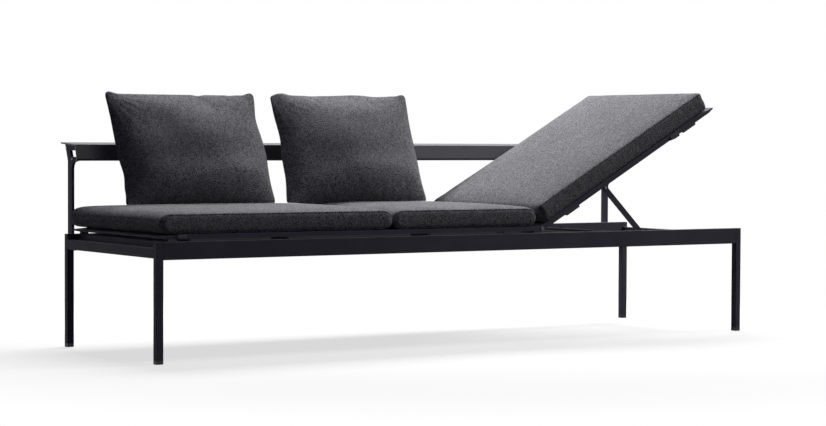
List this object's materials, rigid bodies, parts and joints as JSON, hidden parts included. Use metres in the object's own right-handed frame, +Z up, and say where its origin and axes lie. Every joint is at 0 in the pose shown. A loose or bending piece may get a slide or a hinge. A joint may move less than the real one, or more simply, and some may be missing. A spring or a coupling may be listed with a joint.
{
  "type": "reclining outdoor daybed",
  "caption": "Low outdoor daybed on a tube base: sling seat with pads, a reclining end on a prop stand, loose pillows and a raised back shelf.",
  "frame": {"origin": "on the floor, under the middle of the whole object's outer box with the recline at its rest angle", "axes": "+X runs along the seat to the reclining end, +Y from the front rail to the back shelf, +Z up"},
  "size_m": [2, 0.686, 0.7292],
  "materials": {
    "frame_coat": "fine-textured charcoal powder coat on aluminium tube",
    "shelf_coat": "satin graphite powder coat on bent aluminium",
    "foot_plastic": "matt black moulded nylon",
    "sling_mesh": "coated polyester sling cloth, fine lengthwise stripe",
    "pad_fabric": "woven outdoor fabric, charcoal with light flecks",
    "webbing": "black woven polyester webbing",
    "bolt_steel": "blackened stainless fasteners, satin",
    "pin_steel": "turned stainless steel"
  },
  "bodies": {
    "base": {"back_post_left": "frame_coat", "back_post_right": "frame_coat", "back_shelf": "shelf_coat", "front_rail": "frame_coat", "glide_front_left": "foot_plastic", "glide_front_right": "foot_plastic", "glide_rear_left": "foot_plastic", "glide_rear_right": "foot_plastic", "hinge_pins": "pin_steel", "hinge_tongue_front": "frame_coat", "hinge_tongue_rear": "frame_coat", "left_end_rail": "frame_coat", "leg_front_left": "frame_coat", "leg_front_right": "frame_coat", "leg_rear_left": "frame_coat", "leg_rear_right": "frame_coat", "pillow_left": "pad_fabric", "pillow_right": "pad_fabric", "post_bolts": "bolt_steel", "post_standoffs": "frame_coat", "prop_rack_front": "foot_plastic", "prop_rack_rear": "foot_plastic", "rack_rivets": "bolt_steel", "rear_rail": "frame_coat", "rest_strips_front": "foot_plastic", "rest_strips_rear": "foot_plastic", "right_end_rail": "frame_coat", "seat_cross_bar_left": "frame_coat", "seat_cross_bar_right": "frame_coat", "seat_end_bar": "frame_coat", "seat_end_brace": "frame_coat", "seat_hinge_bar": "frame_coat", "seat_pad_left": "pad_fabric", "seat_pad_middle": "pad_fabric", "seat_pad_straps": "webbing", "seat_rail_front": "frame_coat", "seat_rail_rear": "frame_coat", "seat_sling": "sling_mesh", "shelf_bolts": "bolt_steel", "shelf_cap_left": "shelf_coat", "shelf_cap_right": "shelf_coat", "shelf_tabs": "shelf_coat"},
    "back": {"back_cross_bar": "frame_coat", "back_end_bar": "frame_coat", "back_landing_blocks": "foot_plastic", "back_lower_bar": "frame_coat", "back_pad": "pad_fabric", "back_pad_straps": "webbing", "back_rail_front": "frame_coat", "back_rail_rear": "frame_coat", "back_sling": "sling_mesh", "hinge_fork_front": "frame_coat", "hinge_fork_rear": "frame_coat", "pivot_bolts": "bolt_steel", "stand_lug_front": "frame_coat", "stand_lug_rear": "frame_coat"},
    "stand": {"prop_arm_front": "frame_coat", "prop_arm_rear": "frame_coat", "prop_foot_bar": "frame_coat"}
  },
  "joints": [
    {"name": "back_recline", "type": "hinge", "parent": "base", "child": "back", "pos_m": [0.245, -0.055, 0.329], "axis": [0, 1, 0], "range_deg": [0, 29]},
    {"name": "stand_swing", "type": "hinge", "parent": "back", "child": "stand", "pos_m": [0.48703, -0.055, 0.44578], "axis": [0, 1, 0], "range_deg": [-70.13, 0]}
  ],
  "couplings": [
    {"joint": "stand_swing", "follows": "back_recline", "ratio": -2.4181}
  ]
}
